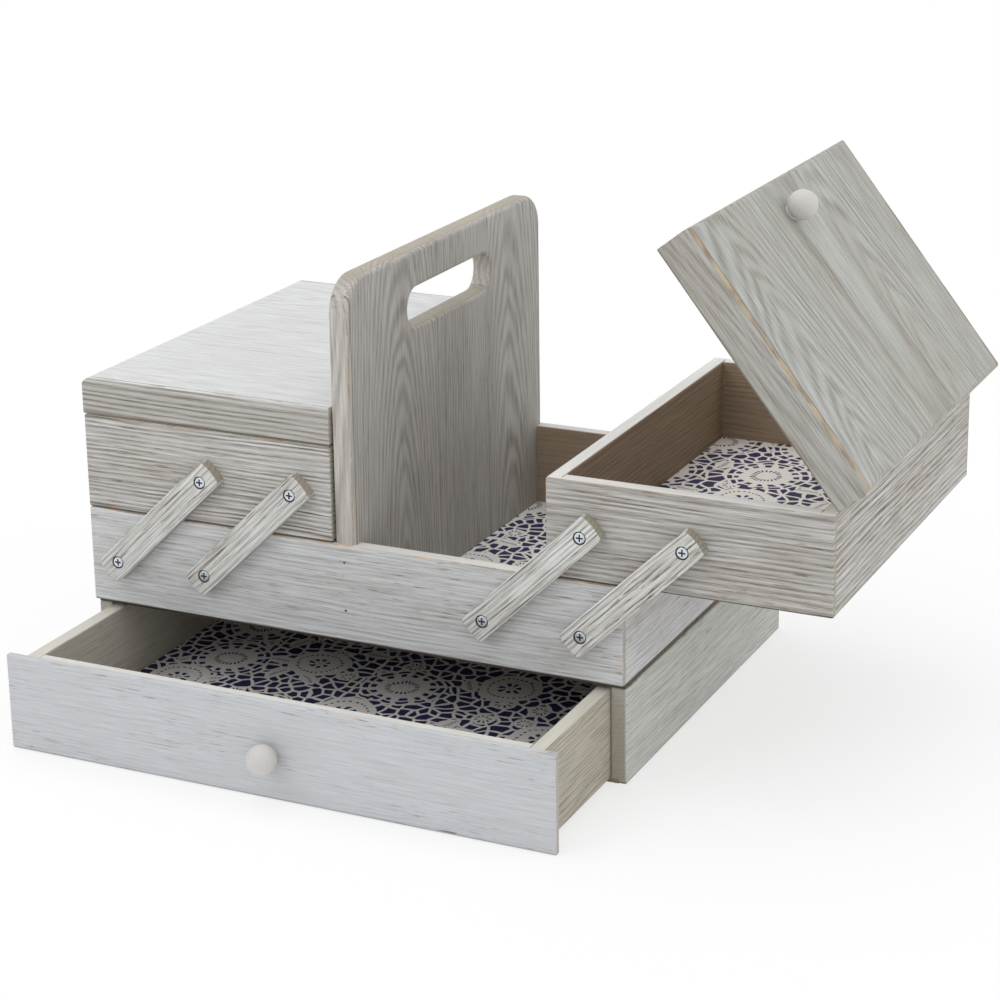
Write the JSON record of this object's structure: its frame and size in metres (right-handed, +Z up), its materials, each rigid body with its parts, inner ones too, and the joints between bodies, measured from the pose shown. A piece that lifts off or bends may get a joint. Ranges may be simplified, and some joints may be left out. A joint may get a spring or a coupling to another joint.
{
  "type": "sewing box",
  "caption": "Wooden cantilever sewing box: drawer case, fixed tray with a tall hand-slot board, and lidded trays that swing out on parallel arms.",
  "frame": {"origin": "middle of the box's underside, halfway between its sides and between its front and back", "axes": "+X to the right along the front, +Y to the back, +Z up"},
  "size_m": [0.5619, 0.4331, 0.3718],
  "materials": {
    "striped_wood": "brushed solid wood with a pale grey-white wash, strong taupe grain",
    "case_wood": "brushed wood with a flat pale grey-green wash",
    "drawer_wood": "washed wood, bluish light grey with fine dark dashes",
    "inner_wood": "darker taupe-brown wash inside the drawer and case",
    "panel_wood": "thin plain wood panels",
    "handle_wood": "brushed wood, grey-taupe with upright figure",
    "lining_paper": "coated printed paper, pale lace on dark violet-blue",
    "screw_steel": "zinc-plated steel",
    "hinge_steel": "zinc-plated steel"
  },
  "bodies": {
    "case": {"carcass_back": "case_wood", "carcass_bottom": "panel_wood", "carcass_left_side": "case_wood", "carcass_right_side": "case_wood", "carcass_top": "panel_wood", "fixed_tray_back": "case_wood", "fixed_tray_bottom": "panel_wood", "fixed_tray_front": "case_wood", "fixed_tray_left_side": "case_wood", "fixed_tray_lining": "lining_paper", "fixed_tray_right_side": "case_wood", "handle_brads": "screw_steel", "handle_panel": "handle_wood", "lower_arm_screws": "screw_steel"},
    "drawer": {"drawer_back": "inner_wood", "drawer_bottom": "panel_wood", "drawer_front": "drawer_wood", "drawer_inner_front": "inner_wood", "drawer_knob": "striped_wood", "drawer_knob_screw": "screw_steel", "drawer_left_side": "inner_wood", "drawer_lining": "lining_paper", "drawer_right_side": "inner_wood"},
    "left_tray": {"left_tray_arm_screws": "screw_steel", "left_tray_back": "striped_wood", "left_tray_bottom": "panel_wood", "left_tray_front": "striped_wood", "left_tray_hinge_leaves": "hinge_steel", "left_tray_hinge_screws": "screw_steel", "left_tray_inner_side": "striped_wood", "left_tray_lining": "lining_paper", "left_tray_outer_side": "striped_wood"},
    "left_lid": {"left_lid_board": "striped_wood", "left_lid_hinge_leaves": "hinge_steel", "left_lid_hinge_screws": "screw_steel", "left_lid_knob": "striped_wood", "left_lid_knob_screw": "screw_steel"},
    "right_tray": {"right_tray_arm_screws": "screw_steel", "right_tray_back": "striped_wood", "right_tray_bottom": "panel_wood", "right_tray_front": "striped_wood", "right_tray_hinge_leaves": "hinge_steel", "right_tray_hinge_screws": "screw_steel", "right_tray_inner_side": "striped_wood", "right_tray_lining": "lining_paper", "right_tray_outer_side": "striped_wood"},
    "right_lid": {"right_lid_board": "striped_wood", "right_lid_hinge_leaves": "hinge_steel", "right_lid_hinge_screws": "screw_steel", "right_lid_knob": "striped_wood", "right_lid_knob_screw": "screw_steel"},
    "left_back_inner_arm": {"left_back_inner_arm": "striped_wood"},
    "left_back_outer_arm": {"left_back_outer_arm": "striped_wood"},
    "left_front_inner_arm": {"left_front_inner_arm": "striped_wood"},
    "left_front_outer_arm": {"left_front_outer_arm": "striped_wood"},
    "right_back_inner_arm": {"right_back_inner_arm": "striped_wood"},
    "right_back_outer_arm": {"right_back_outer_arm": "striped_wood"},
    "right_front_inner_arm": {"right_front_inner_arm": "striped_wood"},
    "right_front_outer_arm": {"right_front_outer_arm": "striped_wood"}
  },
  "joints": [
    {"name": "drawer_slide", "type": "slide", "parent": "case", "child": "drawer", "axis": [0, -1, 0], "range_m": [-0.105, 0.115]},
    {"name": "left_front_inner_swing", "type": "hinge", "parent": "case", "child": "left_front_inner_arm", "pos_m": [-0.1045, -0.1543, 0.1029], "axis": [0, 1, 0], "range_deg": [-91.9, 0]},
    {"name": "left_front_outer_swing", "type": "hinge", "parent": "case", "child": "left_front_outer_arm", "pos_m": [-0.1735, -0.1543, 0.1029], "axis": [0, 1, 0], "range_deg": [-91.9, 0]},
    {"name": "left_back_inner_swing", "type": "hinge", "parent": "case", "child": "left_back_inner_arm", "pos_m": [-0.1045, 0.1543, 0.1029], "axis": [0, 1, 0], "range_deg": [-91.9, 0]},
    {"name": "left_back_outer_swing", "type": "hinge", "parent": "case", "child": "left_back_outer_arm", "pos_m": [-0.1735, 0.1543, 0.1029], "axis": [0, 1, 0], "range_deg": [-91.9, 0]},
    {"name": "left_tray_pivot", "type": "hinge", "parent": "left_front_inner_arm", "child": "left_tray", "pos_m": [-0.0355, -0.1543, 0.16965], "axis": [0, 1, 0], "range_deg": [0, 91.9]},
    {"name": "left_lid_hinge", "type": "hinge", "parent": "left_tray", "child": "left_lid", "pos_m": [-0.2025, 0, 0.20445], "axis": [0, 1, 0], "range_deg": [-180, 0]},
    {"name": "right_front_inner_swing", "type": "hinge", "parent": "case", "child": "right_front_inner_arm", "pos_m": [0.1045, -0.1543, 0.1029], "axis": [0, 1, 0], "range_deg": [-91.9, 0]},
    {"name": "right_front_outer_swing", "type": "hinge", "parent": "case", "child": "right_front_outer_arm", "pos_m": [0.1735, -0.1543, 0.1029], "axis": [0, 1, 0], "range_deg": [-91.9, 0]},
    {"name": "right_back_inner_swing", "type": "hinge", "parent": "case", "child": "right_back_inner_arm", "pos_m": [0.1045, 0.1543, 0.1029], "axis": [0, 1, 0], "range_deg": [-91.9, 0]},
    {"name": "right_back_outer_swing", "type": "hinge", "parent": "case", "child": "right_back_outer_arm", "pos_m": [0.1735, 0.1543, 0.1029], "axis": [0, 1, 0], "range_deg": [-91.9, 0]},
    {"name": "right_tray_pivot", "type": "hinge", "parent": "right_front_inner_arm", "child": "right_tray", "pos_m": [0.1735, -0.1543, 0.16965], "axis": [0, 1, 0], "range_deg": [0, 91.9]},
    {"name": "right_lid_hinge", "type": "hinge", "parent": "right_tray", "child": "right_lid", "pos_m": [0.3405, 0, 0.20445], "axis": [0, 1, 0], "range_deg": [-52, 128]}
  ],
  "couplings": [
    {"joint": "left_front_outer_swing", "follows": "left_front_inner_swing", "ratio": 1},
    {"joint": "left_back_inner_swing", "follows": "left_front_inner_swing", "ratio": 1},
    {"joint": "left_back_outer_swing", "follows": "left_front_inner_swing", "ratio": 1},
    {"joint": "left_tray_pivot", "follows": "left_front_inner_swing", "ratio": -1},
    {"joint": "right_front_outer_swing", "follows": "right_front_inner_swing", "ratio": 1},
    {"joint": "right_back_inner_swing", "follows": "right_front_inner_swing", "ratio": 1},
    {"joint": "right_back_outer_swing", "follows": "right_front_inner_swing", "ratio": 1},
    {"joint": "right_tray_pivot", "follows": "right_front_inner_swing", "ratio": -1}
  ]
}
